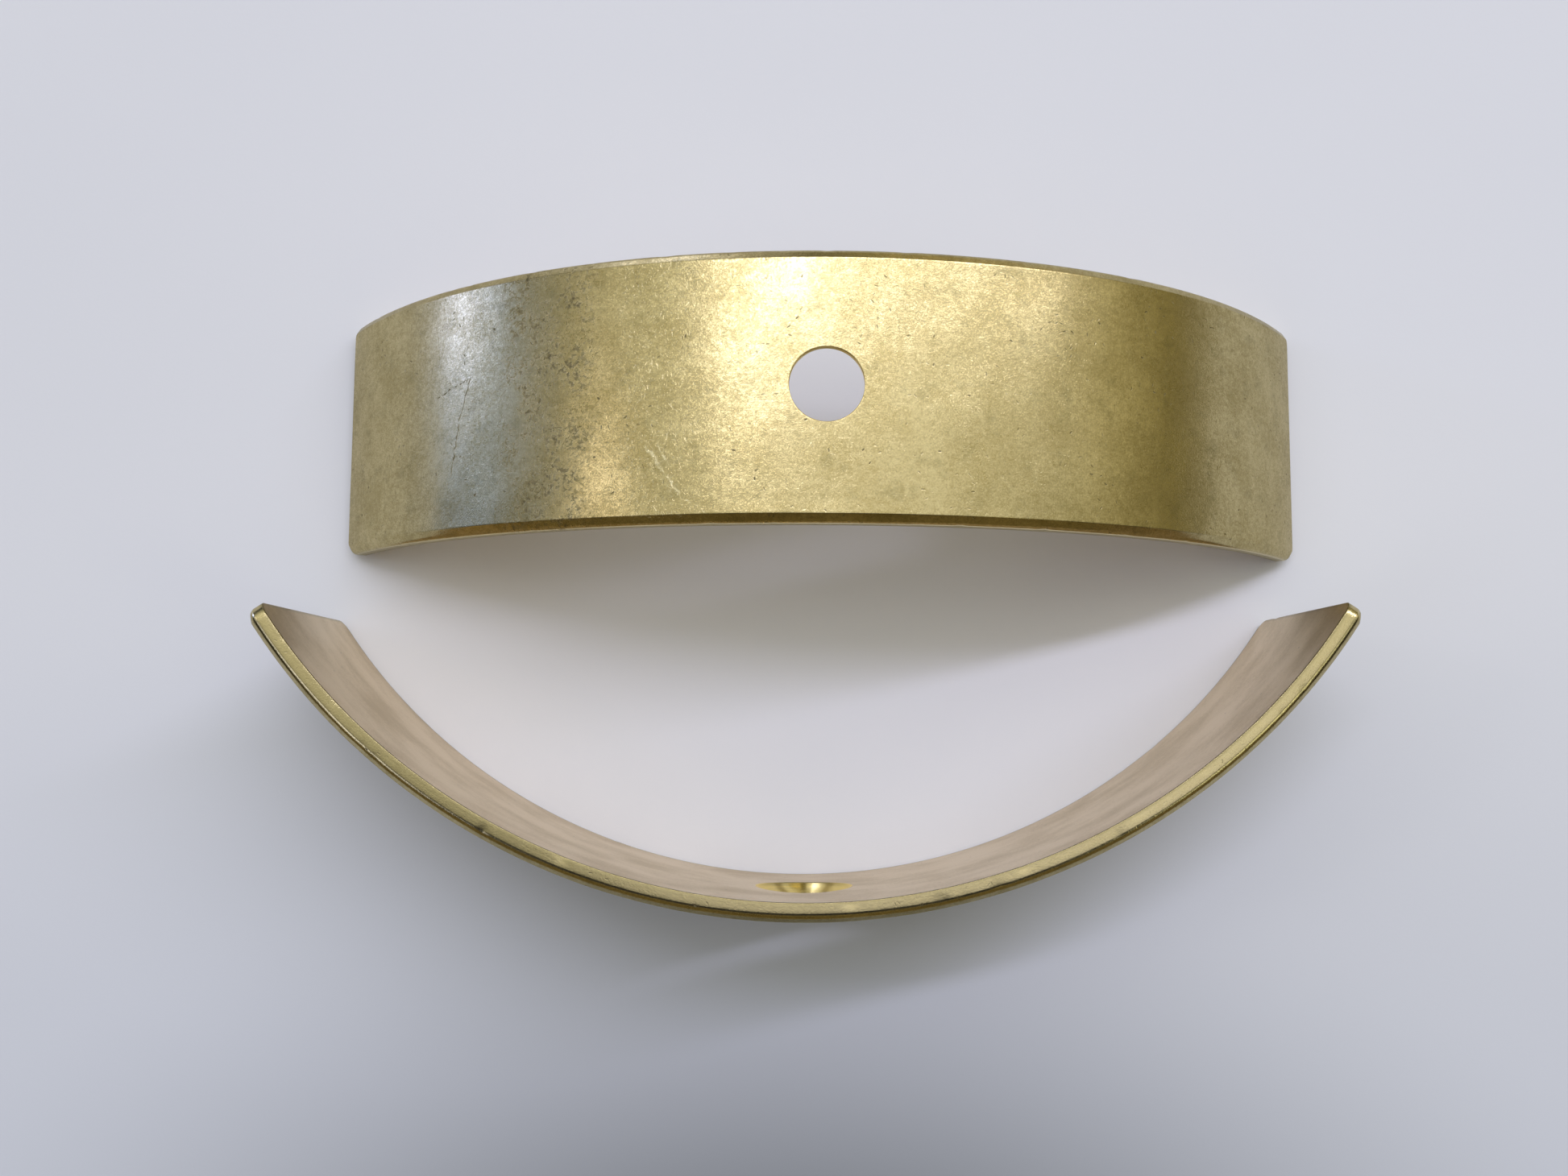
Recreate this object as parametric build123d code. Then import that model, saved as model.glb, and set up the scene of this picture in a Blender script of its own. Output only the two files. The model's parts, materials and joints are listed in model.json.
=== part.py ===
from build123d import *
import math
import os

# A pair of loose arched brass clapper plates. One lies on its two ends with its crown up, the other
# stands on one long edge, hollow side towards the first.
# Millimetres, +Z up. The origin is on the table, at the centre of the pair's overall box.
# +X runs along the plates from end to end, and the standing plate is on the -Y side.

# One plate: a flat bar bent to a circular arc about the Y axis
CHORD = 110.0                 # straight line between the outer corners of the two ends, before rounding
HALF_ANGLE = 57.0             # arc from the crown to an end, degrees
THICKNESS = 2.0
WIDTH = 26.9
OUTER_RADIUS = CHORD / 2 / math.sin(math.radians(HALF_ANGLE))
INNER_RADIUS = OUTER_RADIUS - THICKNESS

# Its edges
CORNER_RADIUS = 1.5           # the four corners, seen square on to the bar
BEVEL = 0.92                  # 45 degree bevel all round the outer (convex) face
BEVEL_BLEND = 0.22            # the bevel's own two edges, worn round
INNER_EDGE_RADIUS = 0.22      # the edge all round the inner (hollow) face

# The hole at its crown
HOLE_RADIUS = 3.65
COUNTERSINK_DEPTH = 1.25      # 90 degree countersink from the inner face
OUTER_EDGE_BREAK = 0.12       # small chamfer on the outer face

# The layout of the pair
END_GAP = 7.2                 # from the lying plate's near edge to the standing plate's ends
STANDING_OFFSET_X = -2.2
STANDING_YAW = 0.4            # degrees about +Z

LONG_TOOL = 10.0              # cutters reach this far past the wall


def bent_bar():
    """The plain bar, bent about the Y axis with its crown towards +Z."""
    section = Plane.YZ * Pos(0, (INNER_RADIUS + OUTER_RADIUS) / 2) * Rectangle(WIDTH, THICKNESS)
    return revolve(section.rotate(Axis.Y, -HALF_ANGLE), Axis.Y, 2 * HALF_ANGLE)


def with_round_corners(bar):
    """Rounds the four short edges that run through the thickness."""
    corners = [edge for edge in bar.edges().filter_by(GeomType.LINE) if edge.length < 2 * THICKNESS]
    return fillet(corners, CORNER_RADIUS)


def broad_faces(bar):
    """The inner and the outer cylindrical face, in that order."""
    curved = bar.faces().filter_by(GeomType.CYLINDER).sort_by(SortBy.AREA)
    return curved[-2], curved[-1]


def with_worn_edges(bar):
    """Bevels the outer face all round and softens every long edge."""
    bar = chamfer(broad_faces(bar)[1].outer_wire().edges(), BEVEL)
    bar = fillet(broad_faces(bar)[1].outer_wire().edges(), BEVEL_BLEND)
    return fillet(broad_faces(bar)[0].outer_wire().edges(), INNER_EDGE_RADIUS)


def hole_cutter():
    """The crown's hole, its countersink from below and the fine chamfer on top."""
    drill = Pos(0, 0, OUTER_RADIUS) * Cylinder(HOLE_RADIUS, 2 * LONG_TOOL)
    sink_bottom = HOLE_RADIUS + COUNTERSINK_DEPTH + LONG_TOOL
    sink_height = COUNTERSINK_DEPTH + LONG_TOOL
    sink = Pos(0, 0, INNER_RADIUS + COUNTERSINK_DEPTH - sink_height / 2) * Cone(
        sink_bottom, HOLE_RADIUS, sink_height)
    rim = Pos(0, 0, OUTER_RADIUS - OUTER_EDGE_BREAK + LONG_TOOL / 2) * Cone(
        HOLE_RADIUS, HOLE_RADIUS + LONG_TOOL, LONG_TOOL)
    return drill + sink + rim


def clapper_plate():
    """One finished plate, bent about the Y axis, crown towards +Z."""
    return with_worn_edges(with_round_corners(bent_bar())) - hole_cutter()


def lying(plate):
    """The plate resting on the inner edges of its two ends."""
    return Pos(0, 0, -plate.bounding_box().min.Z) * plate


def standing(plate):
    """The plate on its long edge, crown towards -Y, at its place beside the lying one."""
    centre_y = INNER_RADIUS * math.cos(math.radians(HALF_ANGLE)) - WIDTH / 2 - END_GAP
    return Pos(STANDING_OFFSET_X, centre_y, WIDTH / 2) * Rot(0, 0, STANDING_YAW) * Rot(90, 0, 0) * plate


plate = clapper_plate()
pieces = {"lying_plate": lying(plate), "standing_plate": standing(plate)}
box = Compound(list(pieces.values())).bounding_box()
to_row_frame = Pos(-box.center().X, -box.center().Y, -box.min.Z)

os.makedirs("parts", exist_ok=True)
for name, piece in pieces.items():
    placed = to_row_frame * piece
    placed.label = name
    export_step(placed, f"parts/{name}.step")
    reach = placed.bounding_box()
    print(name, "volume", round(placed.volume, 1), "from", reach.min, "to", reach.max)
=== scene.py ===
import json
import math
import random

import bmesh
import bpy
import numpy as np
from mathutils import Matrix, Vector


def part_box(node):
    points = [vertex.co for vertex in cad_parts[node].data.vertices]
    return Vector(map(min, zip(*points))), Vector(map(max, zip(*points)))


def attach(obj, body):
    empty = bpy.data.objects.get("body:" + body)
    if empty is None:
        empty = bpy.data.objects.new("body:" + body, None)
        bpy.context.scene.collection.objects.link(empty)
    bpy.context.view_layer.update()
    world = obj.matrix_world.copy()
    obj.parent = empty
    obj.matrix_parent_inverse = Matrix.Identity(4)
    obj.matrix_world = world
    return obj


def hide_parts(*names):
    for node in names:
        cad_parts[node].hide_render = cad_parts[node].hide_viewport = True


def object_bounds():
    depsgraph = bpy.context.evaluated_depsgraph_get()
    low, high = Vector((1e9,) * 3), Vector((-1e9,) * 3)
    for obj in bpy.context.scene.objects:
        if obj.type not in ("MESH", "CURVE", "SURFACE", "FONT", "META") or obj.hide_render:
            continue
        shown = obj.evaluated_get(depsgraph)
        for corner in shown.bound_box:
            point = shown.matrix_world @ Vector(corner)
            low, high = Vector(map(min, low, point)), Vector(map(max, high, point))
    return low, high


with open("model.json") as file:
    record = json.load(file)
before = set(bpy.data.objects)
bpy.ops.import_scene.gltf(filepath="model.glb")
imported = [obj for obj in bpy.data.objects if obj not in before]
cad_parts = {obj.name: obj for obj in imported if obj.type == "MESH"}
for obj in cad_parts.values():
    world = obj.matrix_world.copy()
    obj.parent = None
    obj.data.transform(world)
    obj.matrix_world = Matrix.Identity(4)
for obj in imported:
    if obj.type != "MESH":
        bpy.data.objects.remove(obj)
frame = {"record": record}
cad_box = [list(corner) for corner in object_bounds()]
floor_z = cad_box[0][2]
mounts = {mount["name"]: mount for mount in frame["record"]["mounts"]}

# ---------------------------------------------------------------- driving dimensions, millimetres
MM = 0.001
CHORD = 110.0
HALF_ANGLE = math.radians(57.0)
THICKNESS = 2.0
WIDTH = 26.9
OUTER_RADIUS = CHORD / 2 / math.sin(HALF_ANGLE)
INNER_RADIUS = OUTER_RADIUS - THICKNESS
HALF_LENGTH = OUTER_RADIUS * HALF_ANGLE        # along the outer face, crown to end
HALF_WIDTH = WIDTH / 2
CORNER_RADIUS = 1.5
BEVEL = 0.92                                   # the bevel's reach in from the edge, on the outer face
BEVEL_DROP = 0.575                             # its reach down the rim, were its shoulder not rounded
RIDGE_BLEND = 0.10                             # where the outer face meets the bevel
SHOULDER_BLEND = 0.80                          # where the bevel meets the flat rim
CREST_DEPTH = 0.80                             # where that shoulder is rubbed brightest, and where its painted highlight is brightest
INNER_EDGE_RADIUS = 0.08
HOLE_RADIUS = 3.65
COUNTERSINK_DEPTH = 1.25                       # a 90 degree countersink from the hollow face
MOUTH_BREAK = 0.05                             # the tiny break at the hole's outer mouth
CAD_MOUTH_BREAK = 0.12                         # the CAD hole's break, which its mount leaves out
HOLE_MOUNT_RADIUS = INNER_RADIUS + (COUNTERSINK_DEPTH + THICKNESS - CAD_MOUTH_BREAK) / 2

# The mesh
GRID_STEP = 0.32                               # mesh cell on the broad faces
CORNER_CELLS = 4
HOLE_SQUARE = 6.4                              # half side of the square that the hole's rings fill
HOLE_RINGS = 9
HOLE_SUPPORT = 0.02                            # first ring's part of the way out, so that edges stay crisp
SINK_ROUNDS = 6                                # enough to settle where the countersink meets the hollow face
WELD = 0.002                                   # points nearer than this become one
HOLLOW_SHIFT = 60.0                            # keeps the hollow face's UVs off the outside's
SKIN, HOLLOW, BORE = 0, 1, 2                   # material slots: outside, hollow face, hole

# Wear that moves the mesh: shallow waves from bending and tumbling, and small dings along the edges
WAVES = 14
WAVE_LENGTHS = (5.0, 18.0)
WAVE_DEPTH = 0.0009                            # of a wave 1 mm long; it grows with the root of the length
WAVE_FREE_EDGE = 2.0                           # the waves fade out this far from the edge
DINGS = 46
DINGS_AT_ENDS = 0.16                           # share of them
DING_SIZES = (0.35, 0.95)
DING_DEPTHS = (0.02, 0.075)
END_DING_HEIGHTS = (0.4, 1.0, 2.0)             # depths below the outer face where dings sit
SIDE_DING_HEIGHTS = (0.3, 0.9, 1.0, 2.0)

# How far the marks that the materials read reach from their lines
CREST_WEAR_AND_HIGHLIGHT_REACH = 0.25
DARK_CORNER_REACH = 0.14
RIM_BLEND = 0.15


# ---------------------------------------------------------------- the plate's mesh
# Bar coordinates: u along the bent bar, measured on the outer face; v across its width; h the depth
# below the outer face. Bent shape: the bar's axis of curvature is local Y and its crown is at +Z.

def bend(u, v, h):
    """Bar coordinates to local millimetres."""
    angle = u / OUTER_RADIUS
    radius = OUTER_RADIUS - h
    return np.stack([radius * np.sin(angle), v, radius * np.cos(angle)], axis=-1)


def unbend(points):
    """Local millimetres to bar coordinates."""
    x, y, z = points[:, 0], points[:, 1], points[:, 2]
    return np.arctan2(x, z) * OUTER_RADIUS, y, OUTER_RADIUS - np.hypot(x, z)


def grid_lines(core):
    """Positions in the core and corner fractions of the grid lines along one direction."""
    outside = int(round((core - HOLE_SQUARE) / GRID_STEP))
    inside = int(round(2 * HOLE_SQUARE / GRID_STEP))
    left = np.linspace(-core, -HOLE_SQUARE, outside + 1)
    middle = np.linspace(-HOLE_SQUARE, HOLE_SQUARE, inside + 1)
    lines = np.concatenate([left[:-1], middle, -left[::-1][1:]])
    fractions = np.zeros(len(lines))
    ends = np.linspace(0, 1, CORNER_CELLS + 1)[1:]
    lines = np.concatenate([np.full(CORNER_CELLS, -core), lines, np.full(CORNER_CELLS, core)])
    fractions = np.concatenate([-ends[::-1], fractions, ends])
    return lines, fractions


U_LINES, U_CORNER = grid_lines(HALF_LENGTH - CORNER_RADIUS)
V_LINES, V_CORNER = grid_lines(HALF_WIDTH - CORNER_RADIUS)
U_CORE, V_CORE = np.meshgrid(U_LINES, V_LINES, indexing="ij")
U_PART, V_PART = np.meshgrid(U_CORNER, V_CORNER, indexing="ij")
# The unit square of a corner, squeezed on to the unit quarter disc
U_ROUND = U_PART * np.sqrt(1 - V_PART ** 2 / 2)
V_ROUND = V_PART * np.sqrt(1 - U_PART ** 2 / 2)


def border_index():
    """Grid indices of the border, in order round the plate."""
    rows, columns = U_CORE.shape
    walk = [(i, 0) for i in range(rows - 1)] + [(rows - 1, j) for j in range(columns - 1)]
    walk += [(i, columns - 1) for i in range(rows - 1, 0, -1)] + [(0, j) for j in range(columns - 1, 0, -1)]
    return tuple(np.array(walk).T)


BORDER = border_index()


def border_at(inset):
    """The plate's outline in the u, v plane, moved inwards."""
    reach = CORNER_RADIUS - inset
    return U_CORE[BORDER] + reach * U_ROUND[BORDER], V_CORE[BORDER] + reach * V_ROUND[BORDER]


def rounded(corner, before, after, radius, steps):
    """Points of the arc that rounds a corner of the edge's section."""
    corner, before, after = (np.array(p, float) for p in (corner, before, after))
    a = (before - corner) / np.linalg.norm(before - corner)
    b = (after - corner) / np.linalg.norm(after - corner)
    half = math.acos(float(np.clip(a @ b, -1, 1))) / 2
    centre = corner + (a + b) / np.linalg.norm(a + b) * radius / math.sin(half)
    start = corner + a * radius / math.tan(half) - centre
    end = corner + b * radius / math.tan(half) - centre
    swing = math.atan2(start[0] * end[1] - start[1] * end[0], start @ end)
    turned = []
    for t in np.linspace(0, swing, steps + 1):
        c, s = math.cos(t), math.sin(t)
        turned.append(centre + (c * start[0] - s * start[1], s * start[0] + c * start[1]))
    return turned


def edge_section():
    """(inset, depth) down the plate's edge, from the outer face to the inner face."""
    top, ridge, shoulder = (HALF_WIDTH, 0), (BEVEL, 0), (0, BEVEL_DROP)
    foot, under = (0, THICKNESS), (HALF_WIDTH, THICKNESS)
    points = rounded(ridge, top, shoulder, RIDGE_BLEND, 3)
    for arc in (
        rounded(shoulder, ridge, foot, SHOULDER_BLEND, 8),
        rounded(foot, shoulder, under, INNER_EDGE_RADIUS, 4),
    ):
        straight = arc[0] - points[-1]
        points += [points[-1] + straight * t for t in (0.35, 0.7)] + arc
    return np.array(points)


class Patches:
    """Collects patches of quads with their own UVs and material. They are welded afterwards."""

    def __init__(self):
        self.points, self.uvs, self.faces, self.slots, self.count = [], [], [], [], 0

    def add(self, points, uv, faces, slot):
        self.points.append(points)
        self.uvs.append(uv)
        self.faces.append(np.asarray(faces) + self.count)
        self.slots += [slot] * len(faces)
        self.count += len(points)

    def add_rings(self, rings, uv_rings, slot):
        """Quads between closed rings that each hold the same number of points."""
        rings, uv_rings = np.array(rings), np.array(uv_rings)
        rings = np.concatenate([rings, rings[:, :1]], axis=1)
        uv_rings = np.concatenate([uv_rings, uv_rings[:, :1]], axis=1)
        levels, n = rings.shape[:2]
        index = np.arange(levels * n).reshape(levels, n)
        quads = np.stack([index[:-1, :-1], index[:-1, 1:], index[1:, 1:], index[1:, :-1]], axis=-1)
        self.add(rings.reshape(-1, 3), uv_rings.reshape(-1, 2), quads.reshape(-1, 4), slot)


def add_broad_face(patches, inset, depth, uv_shift, slot):
    """The outer or inner face without the square round the hole."""
    reach = CORNER_RADIUS - inset
    u, v = U_CORE + reach * U_ROUND, V_CORE + reach * V_ROUND
    rows, columns = u.shape
    index = np.arange(rows * columns).reshape(rows, columns)
    quads = np.stack([index[:-1, :-1], index[1:, :-1], index[1:, 1:], index[:-1, 1:]], axis=-1)
    middle_u, middle_v = (U_LINES[:-1] + U_LINES[1:]) / 2, (V_LINES[:-1] + V_LINES[1:]) / 2
    in_square = (np.abs(middle_u) < HOLE_SQUARE)[:, None] & (np.abs(middle_v) < HOLE_SQUARE)[None, :]
    quads = quads[~in_square]
    uv = np.stack([u, v + uv_shift], axis=-1).reshape(-1, 2)
    patches.add(bend(u, v, depth).reshape(-1, 3), uv, quads, slot)


def square_walk():
    """The hole square's border, in order, in the u, v plane."""
    side = np.linspace(-HOLE_SQUARE, HOLE_SQUARE, int(round(2 * HOLE_SQUARE / GRID_STEP)) + 1)[:-1]
    full = np.full(len(side), HOLE_SQUARE)
    return np.concatenate([side, full, -side, -full]), np.concatenate([-full, side, full, -side])


def add_hole(patches):
    """The rings round the hole on both faces, and the hole's own wall."""
    su, sv = square_walk()
    angle = np.arctan2(sv, su)
    c, s = np.cos(angle), np.sin(angle)

    def circle(radius, height):
        return np.stack([radius * c, radius * s, np.broadcast_to(height, c.shape)], axis=-1)

    def on_cylinder(radius, cylinder):
        return np.sqrt(cylinder ** 2 - (radius * c) ** 2)

    mouth = HOLE_RADIUS + MOUTH_BREAK
    sink = np.full(c.shape, HOLE_RADIUS + COUNTERSINK_DEPTH)
    sink_top = INNER_RADIUS + COUNTERSINK_DEPTH
    for _ in range(SINK_ROUNDS):
        sink = HOLE_RADIUS + sink_top - on_cylinder(sink, INNER_RADIUS)

    def face_rings(radius, cylinder):
        """Rings in the u, v plane, from the hole's edge out to the square."""
        hu = np.arcsin(radius * c / cylinder) * OUTER_RADIUS
        hv = radius * s
        blend = np.concatenate([[0], np.linspace(HOLE_SUPPORT, 1, HOLE_RINGS + 1)])[:, None]
        return hu + (su - hu) * blend, hv + (sv - hv) * blend

    u, v = face_rings(mouth, OUTER_RADIUS)
    outer = bend(u, v, 0.0)
    patches.add_rings(outer, np.stack([u, v], axis=-1), SKIN)
    u, v = face_rings(sink, INNER_RADIUS)
    patches.add_rings(bend(u, v, THICKNESS), np.stack([u, v + HOLLOW_SHIFT], axis=-1), HOLLOW)

    # The bore starts where the break ends, which is lower at the sides, as the outer face curves away
    bore_top = on_cylinder(HOLE_RADIUS, OUTER_RADIUS) - MOUTH_BREAK
    wall = [outer[0]]
    wall += [circle(HOLE_RADIUS, bore_top + (sink_top - bore_top) * t) for t in (0, 0.08, 0.5, 0.92, 1.0)]
    for t in (0.06, 0.35, 0.7, 0.94, 1.0):
        radius = HOLE_RADIUS + (sink - HOLE_RADIUS) * t
        wall.append(circle(radius, sink_top - (radius - HOLE_RADIUS)))
    down = np.linspace(0, 3.0, len(wall))
    around = np.unwrap(angle) * HOLE_RADIUS
    uvs = [np.stack([around, np.full(c.shape, 2 * HOLLOW_SHIFT + d)], axis=-1) for d in down]
    patches.add_rings(wall, uvs, BORE)


def add_edge(patches, section):
    """The rings down the plate's edge, all the way round."""
    rings, uvs, run = [], [], 0.0
    au, av = border_at(section[0][0])
    for k, (inset, depth) in enumerate(section):
        if k:
            run += float(np.hypot(*(section[k] - section[k - 1])))
        u, v = border_at(inset)
        rings.append(bend(u, v, depth))
        uvs.append(np.stack([au + U_ROUND[BORDER] * run, av + V_ROUND[BORDER] * run], axis=-1))
    patches.add_rings(rings, uvs, SKIN)


def bar_distances(points):
    """For each point: its inset from the plan outline and its depth below the outer face."""
    u, v, h = unbend(points)
    du = np.abs(u) - (HALF_LENGTH - CORNER_RADIUS)
    dv = np.abs(v) - (HALF_WIDTH - CORNER_RADIUS)
    past = np.hypot(np.maximum(du, 0), np.maximum(dv, 0)) + np.minimum(np.maximum(du, dv), 0)
    return CORNER_RADIUS - past, h


def waves(u, v, rng):
    """How far the broad faces sink at u, v."""
    sunk = np.zeros(len(u))
    for _ in range(WAVES):
        wavelength = rng.uniform(*WAVE_LENGTHS)
        heading, phase = rng.uniform(0, math.pi), rng.uniform(0, 2 * math.pi)
        distance = u * math.cos(heading) + v * math.sin(heading)
        sunk += WAVE_DEPTH * wavelength ** 0.5 * np.sin(2 * math.pi / wavelength * distance + phase)
    return sunk - sunk.min()


def ding_spot(rng):
    """A random place on the plate's edge."""
    along = rng.uniform(-HALF_LENGTH, HALF_LENGTH)
    side = rng.choice((-1, 1))
    if rng.random() < DINGS_AT_ENDS:
        across = rng.uniform(-HALF_WIDTH, HALF_WIDTH)
        return bend(side * HALF_LENGTH, across, rng.choice(END_DING_HEIGHTS))
    return bend(along, side * HALF_WIDTH, rng.choice(SIDE_DING_HEIGHTS))


def worn(points, rng):
    """Local points moved inwards a little by waves and edge dings."""
    u, v, h = unbend(points)
    inset, _ = bar_distances(points)
    sunk = waves(u, v, rng) * np.clip(inset / WAVE_FREE_EDGE, 0, 1)
    moved = bend(u, v, h + sunk * np.where(h < THICKNESS / 2, 1.0, -1.0))
    inwards = bend(u * 0.97, v * 0.9, THICKNESS / 2) - moved
    inwards /= np.linalg.norm(inwards, axis=1)[:, None]
    for _ in range(DINGS):
        spot = ding_spot(rng)
        size = rng.uniform(*DING_SIZES)
        away = np.linalg.norm(points - spot, axis=1)
        dent = rng.uniform(*DING_DEPTHS) * np.exp(-(away / size) ** 2 * 2.5)
        moved += inwards * dent[:, None]
    return moved


def crest_wear_and_highlight_of(points):
    """1 on the bevel's rubbed shoulder, whose highlight is painted on too, falling to 0 away from it."""
    inset, h = bar_distances(points)
    return np.clip(1 - np.hypot(inset, h - CREST_DEPTH) / CREST_WEAR_AND_HIGHLIGHT_REACH, 0, 1)


def dark_corner_of(points):
    """1 in the sharp corners where the rim and the countersink meet the hollow face."""
    inset, h = bar_distances(points)
    from_hole = np.hypot(points[:, 0], points[:, 1]) - HOLE_RADIUS - COUNTERSINK_DEPTH
    corner = np.minimum(np.hypot(inset, h - THICKNESS), np.hypot(from_hole, h - THICKNESS))
    return np.clip(1 - corner / DARK_CORNER_REACH, 0, 1)


def rim_of(points):
    """1 on the flat rim, 0 on the bevel and the outer face."""
    _, h = bar_distances(points)
    return np.clip((h - CREST_DEPTH) / RIM_BLEND, 0, 1)


def plate_mesh(name, placement, seed):
    """The finished plate as a closed mesh, in row coordinates."""
    patches = Patches()
    section = edge_section()
    add_broad_face(patches, section[0][0], 0.0, 0.0, SKIN)
    add_broad_face(patches, section[-1][0], THICKNESS, HOLLOW_SHIFT, HOLLOW)
    add_hole(patches)
    add_edge(patches, section)
    points, uvs = np.concatenate(patches.points), np.concatenate(patches.uvs)
    faces = np.concatenate(patches.faces)

    mesh = bpy.data.meshes.new(name)
    mesh.from_pydata(points.tolist(), [], faces.tolist())
    layer = mesh.uv_layers.new(name="bar")
    corner = np.zeros(len(mesh.loops), dtype=np.int64)
    mesh.loops.foreach_get("vertex_index", corner)
    layer.data.foreach_set("uv", uvs[corner].ravel())
    mesh.polygons.foreach_set("material_index", patches.slots)
    bm = bmesh.new()
    bm.from_mesh(mesh)
    bmesh.ops.remove_doubles(bm, verts=bm.verts, dist=WELD)
    bmesh.ops.recalc_face_normals(bm, faces=bm.faces)
    bm.to_mesh(mesh)
    bm.free()

    local = np.zeros(len(mesh.vertices) * 3)
    mesh.vertices.foreach_get("co", local)
    local = local.reshape(-1, 3)
    marks = (("crest_wear_and_highlight", crest_wear_and_highlight_of(local)), ("dark_corner", dark_corner_of(local)), ("rim", rim_of(local)))
    local = worn(local, random.Random(seed))
    turn = np.array(placement.to_3x3())
    placed = local * MM @ turn.T + np.array(placement.translation)
    # Nothing passes the CAD's box: the edges that a plate stands on are worn flat by a few hundredths
    placed = np.clip(placed, *cad_box)
    mesh.vertices.foreach_set("co", placed.ravel())
    for label, values in marks:
        mesh.attributes.new(label, "FLOAT", "POINT").data.foreach_set("value", values)
    mesh.polygons.foreach_set("use_smooth", [True] * len(mesh.polygons))
    mesh.update()
    plate = bpy.data.objects.new(name, mesh)
    bpy.context.collection.objects.link(plate)
    return plate


def placement_from(mount_name, across):
    """Where a plate stands: its local X, Y, Z and origin, from its hole's mount."""
    mount = mounts[mount_name]
    crown = Vector(mount["axis"]).normalized()
    along = across.cross(crown).normalized()
    origin = Vector(mount["pos_m"]) - crown * HOLE_MOUNT_RADIUS * MM
    placement = Matrix((along, across, crown)).transposed().to_4x4()
    placement.translation = origin
    return placement


# ---------------------------------------------------------------- materials
class Nodes:
    """Short calls for building a node tree. Inputs are numbers, tuples or other nodes' outputs."""

    def __init__(self, tree):
        self.tree = tree
        tree.nodes.clear()

    def add(self, kind, inputs=None, **settings):
        node = self.tree.nodes.new("ShaderNode" + kind)
        for key, value in settings.items():
            setattr(node, key, value)
        for key, value in (inputs or {}).items():
            socket = node.inputs[key]
            if isinstance(value, bpy.types.NodeSocket):
                self.tree.links.new(value, socket)
            else:
                socket.default_value = value
        return node

    def math(self, operation, a, b=0.0, clamp=False):
        return self.add("Math", {0: a, 1: b}, operation=operation, use_clamp=clamp).outputs[0]

    def vector(self, operation, a, b=(0.0, 0.0, 0.0)):
        node = self.add("VectorMath", {0: a, 1: b}, operation=operation)
        return node.outputs[1] if operation in ("LENGTH", "DISTANCE", "DOT_PRODUCT") else node.outputs[0]

    def ramp(self, value, low, high, to_low=0.0, to_high=1.0):
        """A smooth step from to_low to to_high as value goes from low to high."""
        inputs = {"Value": value, "From Min": low, "From Max": high, "To Min": to_low, "To Max": to_high}
        return self.add("MapRange", inputs, interpolation_type="SMOOTHSTEP").outputs[0]

    def noise(self, vector, scale, detail, roughness):
        inputs = {"Vector": vector, "Scale": scale, "Detail": detail, "Roughness": roughness}
        return self.add("TexNoise", inputs).outputs["Fac"]

    def attribute(self, name):
        return self.add("Attribute", attribute_name=name).outputs["Fac"]

    def bump(self, height, distance, strength=1.0):
        inputs = {"Strength": strength, "Distance": distance, "Height": height}
        return self.add("Bump", inputs).outputs[0]

    def mix_colour(self, factor, a, b):
        """b over a, as far as factor says. Each colour is a tuple or another node's output."""
        node = self.add("Mix", data_type="RGBA", blend_type="MIX", clamp_factor=True)
        for socket, value in ((node.inputs[0], factor), (node.inputs[6], a), (node.inputs[7], b)):
            if isinstance(value, bpy.types.NodeSocket):
                self.tree.links.new(value, socket)
            else:
                socket.default_value = value if isinstance(value, (int, float)) else (*value, 1.0)
        return node.outputs[2]


def new_material(name):
    """An empty material and its nodes."""
    material = bpy.data.materials.new(name)
    material.use_nodes = True
    return material, Nodes(material.node_tree)


def cell_marks(n, where, density, half_length, half_width, keep):
    """One short straight mark in some of the Voronoi cells, each in a direction of its own."""
    cell = n.add("TexVoronoi", {"Vector": where, "Scale": density, "Randomness": 1.0},
                 voronoi_dimensions="2D", feature="F1")
    chance = n.add("SeparateColor", {0: cell.outputs["Color"]})
    local = n.vector("SUBTRACT", where, cell.outputs["Position"])
    turn = n.math("MULTIPLY", chance.outputs[0], 2 * math.pi)
    turned = n.add("VectorRotate", {"Vector": local, "Angle": turn}, rotation_type="Z_AXIS").outputs[0]
    axes = n.add("SeparateXYZ", {0: turned})
    along = n.ramp(n.math("ABSOLUTE", axes.outputs[0]), half_length * 0.4, half_length, 1.0, 0.0)
    across = n.ramp(n.math("ABSOLUTE", axes.outputs[1]), 0.0, half_width, 1.0, 0.0)
    strength = n.ramp(chance.outputs[1], keep, 1.0)
    return n.math("MULTIPLY", n.math("MULTIPLY", along, across), strength)


def stroke(n, where, start, end, half_width):
    """One long scratch, from start to end in millimetres on the plate."""
    start, end = Vector((*start, 0)), Vector((*end, 0))
    run = end - start
    local = n.vector("SUBTRACT", where, tuple(start))
    part = n.math("DIVIDE", n.vector("DOT_PRODUCT", local, tuple(run)), run.length_squared, clamp=True)
    nearest = n.add("VectorMath", {0: tuple(run), "Scale": part}, operation="SCALE").outputs[0]
    away = n.vector("DISTANCE", local, nearest)
    return n.ramp(away, 0.0, half_width, 1.0, 0.0)


def total(n, values):
    """The sum of several values."""
    result = values[0]
    for value in values[1:]:
        result = n.math("ADD", result, value)
    return result


def shifted(n, where, number):
    """The same coordinates moved, so that one layer's cells don't repeat another's."""
    return n.vector("ADD", where, (17.3 * number, 29.1 * number, 0.0))


def band(n, plate, centre, reach):
    """1 in a band across the plate, falling to 0 at its reach from its centre."""
    along = n.add("SeparateXYZ", {0: plate}).outputs[0]
    away = n.math("ABSOLUTE", n.math("SUBTRACT", along, centre))
    return n.ramp(away, reach * 0.3, reach, 1.0, 0.0)


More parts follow.
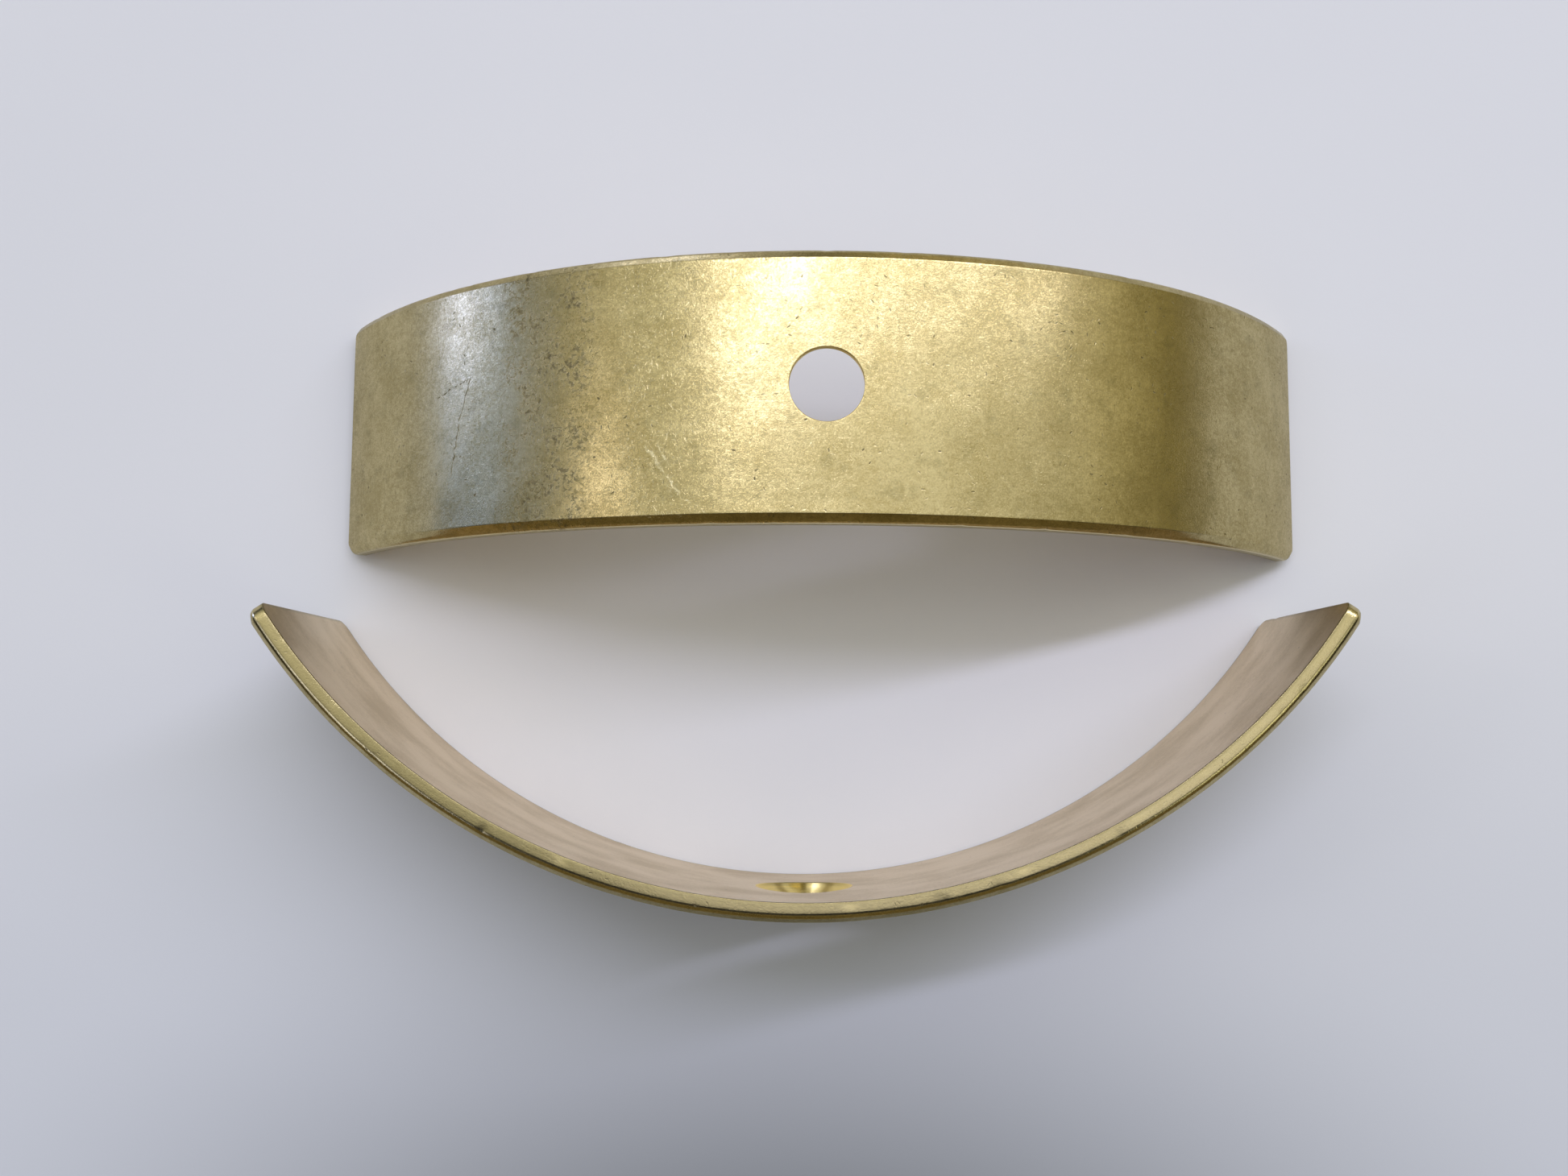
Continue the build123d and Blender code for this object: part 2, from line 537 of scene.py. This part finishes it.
def metal_output(n, colour, rough, normal, edge_tint):
    """Ends a material as bare metal, with edge_tint its tint at grazing angles."""
    inputs = {"Base Color": colour, "Metallic": 1.0, "Roughness": rough, "Normal": normal}
    shader = n.add("BsdfPrincipled", inputs)
    shader.inputs["Specular Tint"].default_value = (*edge_tint, 1.0)
    n.add("OutputMaterial", {"Surface": shader.outputs[0]})


def placed_marks(n, plate, where, strokes, broken_up):
    """Scratches at their own places on the plate, wavering and faint in parts, as broken_up ramps them."""
    wavering = n.add("TexNoise", {"Vector": where, "Scale": 1.1, "Detail": 2.0}).outputs["Color"]
    wavering = n.add("VectorMath", {0: wavering, "Scale": WAVER}, operation="SCALE").outputs[0]
    traced = n.vector("ADD", plate, n.vector("SUBTRACT", wavering, (WAVER / 2, WAVER / 2, WAVER / 2)))
    parts = n.ramp(n.noise(where, 1.6, 3.0, 0.7), *broken_up)
    marks = 0.0
    for start, end, half_width in strokes:
        line = n.math("MULTIPLY", stroke(n, traced, start, end, half_width), parts)
        marks = n.math("MAXIMUM", marks, line)
    return marks


def fine_scratches(n, plate, where, scuff_band):
    """Short crossing scratches, dense in some patches and in the scuff band, thin elsewhere."""
    busy = n.ramp(n.noise(shifted(n, where, 1), 0.14, 3.0, 0.6), 0.38, 0.62, 0.1, 0.6)
    if scuff_band:
        busy = n.math("MAXIMUM", busy, n.math("MULTIPLY", band(n, plate, *scuff_band), 1.6))
    layers = [cell_marks(n, shifted(n, where, 2 + k), *layer) for k, layer in enumerate(SCRATCH_LAYERS)]
    return n.math("MULTIPLY", total(n, layers), busy)


def dark_marks(n, plate, where, strokes, speck_band):
    """Nicks in clusters, a few deep ones, the placed dark scratches and the band of dark specks."""
    clusters = n.ramp(n.noise(shifted(n, where, 7), 0.2, 3.0, 0.6), 0.46, 0.66)
    nicks = n.math("MULTIPLY", cell_marks(n, shifted(n, where, 8), 1.2, 0.24, 0.09, 0.55), clusters)
    dark = n.math("MAXIMUM", nicks, cell_marks(n, shifted(n, where, 9), 0.35, 0.2, 0.13, 0.8))
    dark = n.math("MAXIMUM", dark, placed_marks(n, plate, where, strokes, (0.3, 0.6, 0.35, 0.8)))
    if speck_band:
        specks = n.ramp(n.noise(where, 1.8, 5.0, 0.75), 0.47, 0.66)
        crowded = n.ramp(n.noise(shifted(n, where, 11), 0.25, 3.0, 0.6), 0.40, 0.60, 0.2, 1.0)
        specks = n.math("MULTIPLY", n.math("MULTIPLY", band(n, plate, *speck_band), specks), crowded)
        dark = n.math("MAXIMUM", dark, specks)
    return dark


def brass_skin(name, number, dark_strokes=(), bright_strokes=(), speck_band=None, scuff_band=None):
    """The tumbled outside: fine scratches, nicks, patches of tarnish and a rubbed shoulder, with painted
    highlights and glints on the shoulder, the scratches and the placed bright strokes.
    """
    material, n = new_material(name)
    plate = n.add("UVMap", uv_map="bar").outputs[0]
    where = shifted(n, plate, number)
    calm = n.math("SUBTRACT", 1.0, n.math("MULTIPLY", n.attribute("rim"), 0.8))  # little tarnish on the rim
    fine = n.noise(where, 5.0, 3.0, 0.7)
    scratches = fine_scratches(n, plate, where, scuff_band)
    dark = dark_marks(n, plate, where, dark_strokes, speck_band)
    # painted glints and highlight: the placed bright strokes and the shoulder's crest, over real rubbing
    bright = placed_marks(n, plate, where, bright_strokes, (0.35, 0.6, 0.2, 1.0))
    rubbed_and_glinting = n.math("MAXIMUM", n.ramp(n.attribute("crest_wear_and_highlight"), 0.35, 1.0), n.math("MULTIPLY", bright, 0.9))

    mottle = total(n, [
        n.math("MULTIPLY", n.noise(where, 0.17, 5.0, 0.62), 0.3),
        n.math("MULTIPLY", n.noise(where, 1.6, 3.0, 0.7), 0.3),
        n.math("MULTIPLY", fine, 0.4),
    ])
    stain = n.math("MULTIPLY", n.ramp(mottle, 0.38, 0.60), calm)
    smudges = n.ramp(n.noise(shifted(n, where, 12), 0.40, 5.0, 0.7), 0.50, 0.72, 0.0, 0.32)
    flecks = n.ramp(n.noise(shifted(n, where, 10), 4.2, 3.0, 0.75), 0.58, 0.74, 0.0, 0.5)
    colour = n.mix_colour(stain, BRASS, BRASS_STAINED)
    for layer, strength, layer_colour in (
        (smudges, calm, BRASS_SMUDGED),
        (flecks, calm, BRASS_BLACKENED),
        # scratches, the rubbed crest and the bright strokes are painted brighter: partly real rubbed metal,
        # partly painted glints and highlight
        (scratches, 0.4, BRASS_RUBBED_AND_GLINTING),
        (rubbed_and_glinting, 0.8, BRASS_RUBBED_AND_GLINTING),
        (dark, 0.8, BRASS_BLACKENED),
        # darker in the sharp corners round the hollow face
        (n.attribute("dark_corner"), 0.9, BRASS_BLACKENED),
    ):
        colour = n.mix_colour(n.math("MULTIPLY", layer, strength), colour, layer_colour)

    height = n.math("ADD", fine, n.math("MULTIPLY", n.noise(where, 0.5, 3.0, 0.6), 1.3))
    for mark, depth in ((scratches, 0.45), (dark, 1.6), (rubbed_and_glinting, 0.25)):
        height = n.math("SUBTRACT", height, n.math("MULTIPLY", mark, depth))

    rough = total(n, [n.math("MULTIPLY", stain, 0.07), n.math("MULTIPLY", dark, 0.25), 0.205])
    metal_output(n, colour, rough, n.bump(height, 0.0000095), (0.78, 0.76, 0.70))
    return material


def brass_hollow():
    """The hollow face: the satin skin of the rolled bar, dull and cloudy, never rubbed by the tumbling."""
    material, n = new_material("brass_hollow")
    where = n.add("UVMap", uv_map="bar").outputs[0]
    along = n.vector("MULTIPLY", where, (0.6, 1.0, 1.0))
    clouds = n.math("MULTIPLY", n.noise(along, 0.14, 4.0, 0.6), 0.75)
    speckle = n.math("MULTIPLY", n.noise(where, 3.0, 3.0, 0.6), 0.25)
    stain = n.ramp(n.math("ADD", clouds, speckle), 0.38, 0.66)
    dark = cell_marks(n, shifted(n, where, 5), 0.5, 0.2, 0.12, 0.8)
    colour = n.mix_colour(stain, BRASS_DULL, BRASS_DULL_STAINED)
    colour = n.mix_colour(n.math("MULTIPLY", dark, 0.5), colour, BRASS_BLACKENED)
    # darker in the sharp corners round the hollow face
    colour = n.mix_colour(n.math("MULTIPLY", n.attribute("dark_corner"), 0.9), colour, BRASS_BLACKENED)

    short_scratches = cell_marks(n, where, 1.2, 0.5, 0.05, 0.6)
    long_scratches = cell_marks(n, shifted(n, where, 3), 0.3, 1.6, 0.05, 0.7)
    scratches = n.math("ADD", short_scratches, long_scratches)
    grain = n.math("MULTIPLY", n.noise(where, 7.0, 2.0, 0.6), 0.3)
    height = n.math("ADD", n.noise(along, 0.6, 3.0, 0.55), grain)
    height = n.math("SUBTRACT", height, n.math("MULTIPLY", scratches, 0.35))
    rough = n.math("ADD", 0.3, n.math("MULTIPLY", stain, 0.08))
    metal_output(n, colour, rough, n.bump(height, 0.00001), (1.0, 0.99, 0.97))
    return material


def brass_bore():
    """The hole and its countersink: freshly cut and bright, with faint rings from the tool."""
    material, n = new_material("brass_bore")
    where = n.add("UVMap", uv_map="bar").outputs[0]
    rings = n.noise(n.vector("MULTIPLY", where, (0.05, 1.0, 1.0)), 9.0, 2.0, 0.5)
    colour = n.mix_colour(n.ramp(rings, 0.3, 0.75, 0.0, 0.35), BRASS_CUT, BRASS)
    # darker in the sharp corner where the countersink meets the hollow face
    colour = n.mix_colour(n.math("MULTIPLY", n.attribute("dark_corner"), 0.8), colour, BRASS_BLACKENED)
    metal_output(n, colour, 0.17, n.bump(rings, 0.0000015), (0.95, 0.86, 0.66))
    return material


def paper_material():
    """Pale matt paper, bluish, with painted shade: darker towards its near edge, and the soft shade of
    something held over that edge.
    """
    material, n = new_material("paper")
    place = n.add("NewGeometry").outputs["Position"]
    # painted shade: the paper darkens towards its near edge
    far = n.ramp(n.add("SeparateXYZ", {0: place}).outputs[1], -0.075, 0.02)
    colour = n.mix_colour(far, (0.75, 0.78, 0.86), (0.885, 0.90, 0.95))
    # painted shadow of something held over the near edge
    from_shade = n.vector("SUBTRACT", place, (-0.002, -0.082, 0.0))
    away = n.vector("LENGTH", n.vector("MULTIPLY", from_shade, (14.0, 27.0, 0.0)))
    shade = n.ramp(away, 0.0, 1.5, 0.82, 0.0)
    clouds = n.noise(n.vector("MULTIPLY", place, (1.0, 1.6, 1.0)), 9.0, 3.0, 0.5)
    colour = n.mix_colour(n.ramp(clouds, 0.3, 0.75, 0.0, 0.08), colour, (0.60, 0.64, 0.72))
    colour = n.mix_colour(shade, colour, (0.12, 0.13, 0.14))
    fibres = n.bump(n.noise(place, 2600.0, 2.0, 0.5), 0.00004, 0.15)
    shader = n.add("BsdfPrincipled", {"Base Color": colour, "Roughness": 0.85, "Normal": fibres})
    shader.inputs["Specular IOR Level"].default_value = 0.2
    n.add("OutputMaterial", {"Surface": shader.outputs[0]})
    return material


# ---------------------------------------------------------------- the pieces
BRASS = (0.60, 0.505, 0.265)
BRASS_STAINED = (0.385, 0.31, 0.13)
BRASS_SMUDGED = (0.17, 0.15, 0.06)
# rubbed brass, also the colour of painted glints and highlights
BRASS_RUBBED_AND_GLINTING = (0.86, 0.78, 0.52)
BRASS_BLACKENED = (0.055, 0.045, 0.022)
BRASS_DULL = (0.71, 0.57, 0.37)
BRASS_DULL_STAINED = (0.55, 0.43, 0.26)
BRASS_CUT = (0.90, 0.71, 0.26)

# Layers of fine scratches: cells per millimetre, half length, half width, and how many cells stay bare
SCRATCH_LAYERS = (
    (4.8, 0.11, 0.03, 0.5),
    (3.4, 0.18, 0.033, 0.62),
    (2.0, 0.3, 0.04, 0.68),
    (1.0, 0.5, 0.04, 0.75),
    (0.16, 3.2, 0.045, 0.65),
)
WAVER = 0.7                                    # how far the placed scratches wander, side to side

# Marks on the lying plate, in millimetres along and across it from its hole: start, end, half width
V_SCRATCH = (((-44.5, 1.6), (-39.2, 3.1), 0.09), ((-39.2, 3.1), (-40.7, -1.3), 0.13),
             ((-40.7, -1.3), (-41.7, -6.7), 0.10))
NICK = (((-27.9, -3.2), (-24.8, -3.4), 0.10), ((-6.8, -8.5), (-6.6, -8.4), 0.17))
# Placed bright strokes: a rubbed patch whose glints are painted on
RUB_AND_GLINTS = (((-17.7, -5.8), (-16.2, -7.9), 0.30), ((-16.6, -5.6), (-15.4, -7.6), 0.20),
       ((-16.2, -7.9), (-14.0, -10.9), 0.13), ((-14.0, -10.9), (-11.7, -12.3), 0.12))
SPECK_BAND = (-29.0, 7.5)                      # centre and reach along the plate
SCUFF_BAND = (-17.0, 7.0)                      # the same

PLATES = (
    ("lying_plate", "lying", "lying_plate_hole", Vector((0, 1, 0)), 3,
     brass_skin("brass_skin_lying", 3, V_SCRATCH + NICK, RUB_AND_GLINTS, SPECK_BAND, SCUFF_BAND)),
    ("standing_plate", "standing", "standing_plate_hole", Vector((0, 0, 1)), 8,
     brass_skin("brass_skin_standing", 8)),
)

hollow, bore = brass_hollow(), brass_bore()
for node, body, mount_name, across, seed, skin in PLATES:
    plate = plate_mesh(node + "_brass", placement_from(mount_name, across), seed)
    for material in (skin, hollow, bore):
        plate.data.materials.append(material)
    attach(plate, body)
    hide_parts(node)


# ---------------------------------------------------------------- floor, light and camera
def make_floor():
    """A sheet of paper that the pair stands on, larger than the picture."""
    mesh = bpy.data.meshes.new("floor")
    bm = bmesh.new()
    bmesh.ops.create_grid(bm, x_segments=1, y_segments=1, size=2.5)
    bm.to_mesh(mesh)
    bm.free()
    floor = bpy.data.objects.new("floor", mesh)
    bpy.context.collection.objects.link(floor)
    floor.location.z = floor_z
    mesh.materials.append(paper_material())


def area_light(name, centre, size, radiance, colour, long_axis=Vector((1, 0, 0))):
    """A rectangular light that faces the pair. radiance is what a mirror would show of it."""
    light = bpy.data.lights.new(name, "AREA")
    light.shape = "RECTANGLE"
    light.size, light.size_y = size
    light.energy = radiance * math.pi * size[0] * size[1]
    light.color = colour
    lamp = bpy.data.objects.new(name, light)
    bpy.context.collection.objects.link(lamp)
    back = Vector(centre).normalized()
    side = (long_axis - back * long_axis.dot(back)).normalized()
    up = back.cross(side)
    lamp.matrix_world = Matrix((side, up, back)).transposed().to_4x4()
    lamp.location = centre
    lamp.visible_camera = False


def make_lights():
    """A long tube overhead behind the pair, windows low on the left and at the back, and weak panels."""
    area_light("tube", (0.20, 0.36, 0.75), (1.23, 0.06), 11.4, (1.0, 1.0, 1.28), Vector((1, 0.24, 0)))
    area_light("window", (-0.84, 0.23, 0.17), (0.24, 0.34), 1.0, (0.44, 0.62, 1.25), Vector((0, 1, 0)))
    area_light("window_top", (-0.80, 0.27, 0.10), (0.09, 0.11), 1.0, (3.6, 4.2, 9.0), Vector((0, 1, 0)))
    area_light("back_window", (-0.30, 0.86, 0.055), (0.22, 0.10), 3.0, (0.93, 0.98, 1.4))
    area_light("lamp", (-0.65, 0.115, 0.62), (0.11, 0.09), 4.2, (1.0, 0.90, 0.95))
    area_light("warm_wall", (0.82, 0.24, 0.38), (0.30, 0.30), 0.2, (1.0, 0.93, 0.65), Vector((0, 1, 0)))
    area_light("ceiling", (0.14, -0.07, 0.80), (0.50, 0.22), 0.62, (1.0, 1.0, 1.2))
    area_light("back_left", (-0.36, 0.88, 0.12), (0.60, 0.16), 0.9, (0.95, 0.98, 1.1))
    area_light("back_right", (0.36, 0.88, 0.12), (0.60, 0.16), 0.5, (1.0, 0.85, 0.5))
    area_light("left_panel", (-0.57, -0.28, 0.64), (0.24, 0.24), 1.3, (1.0, 1.0, 1.1))
    area_light("right_panel", (0.57, -0.28, 0.64), (0.24, 0.24), 1.3, (1.0, 0.96, 0.62))


def emitting(name, radiance):
    """A material that glows evenly."""
    material, n = new_material(name)
    light = n.add("Emission", {"Color": (*radiance, 1.0), "Strength": 1.0})
    n.add("OutputMaterial", {"Surface": light.outputs[0]})
    return material


def dark_card(name, low, high, radiance):
    """A flat glowing card that only reflections see, a painted reflection, between two opposite corners."""
    (x0, y0, z0), (x1, y1, z1) = low, high
    mesh = bpy.data.meshes.new(name)
    mesh.from_pydata([(x0, y0, z0), (x1, y0, z0), (x1, y1, z1), (x0, y1, z1)], [], [(0, 1, 2, 3)])
    mesh.materials.append(emitting(name, radiance))
    card = bpy.data.objects.new(name, mesh)
    bpy.context.collection.objects.link(card)
    card.visible_camera = False
    card.visible_diffuse = False
    card.visible_shadow = False


def make_cards():
    """Glowing cards that paint reflections: the viewer's dim clothes, and the shaded table in front of them.
    """
    left, right, viewer = -0.6, 0.6, -0.32
    table_z = floor_z + 0.0006
    dark_card("viewer_card", (left, viewer, floor_z), (right, viewer, 0.36), (0.18, 0.14, 0.06))
    dark_card("table_card", (left, viewer, table_z), (right, -0.11, table_z), (0.24, 0.22, 0.18))


def make_world():
    """A dim room: a bright ceiling, a dim warm wall low on the right, and dark towards the viewer."""
    world = bpy.data.worlds.new("room")
    bpy.context.scene.world = world
    world.use_nodes = True
    n = Nodes(world.node_tree)
    axes = n.add("SeparateXYZ", {0: n.add("TexCoord").outputs["Generated"]})
    x, y, z = axes.outputs
    walls = n.mix_colour(n.ramp(x, -0.8, 0.8), (0.02, 0.025, 0.04), (0.26, 0.22, 0.06))
    colour = n.mix_colour(n.ramp(z, 0.1, 1.0), walls, (1.08, 1.09, 0.97))
    room = n.add("Background", {"Color": colour, "Strength": n.ramp(y, -0.32, 0.3)})
    backdrop = n.add("Background", {"Color": (0.74, 0.77, 0.82, 1.0), "Strength": 0.85})
    seen = n.add("LightPath").outputs["Is Camera Ray"]
    mix = n.add("MixShader", {0: seen, 1: room.outputs[0], 2: backdrop.outputs[0]})
    n.add("OutputWorld", {"Surface": mix.outputs[0]})


def make_camera():
    """Looks down on the pair from close above, from a little on the viewer's side."""
    camera = bpy.data.cameras.new("camera")
    camera.sensor_width = 36.0
    camera.lens = 32.9605
    camera.clip_start = 0.01
    holder = bpy.data.objects.new("camera", camera)
    bpy.context.collection.objects.link(holder)
    low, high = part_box("lying_plate")
    middle = (Vector(low) + Vector(high)) / 2
    holder.location = (middle.x - 3.45 * MM, middle.y - 32.63 * MM, 166.3 * MM)
    holder.rotation_euler = (0.09485, 0.00336, 0.00687)
    bpy.context.scene.camera = holder


make_floor()
make_lights()
make_cards()
make_world()
make_camera()
bpy.context.scene.view_settings.view_transform = "Standard"
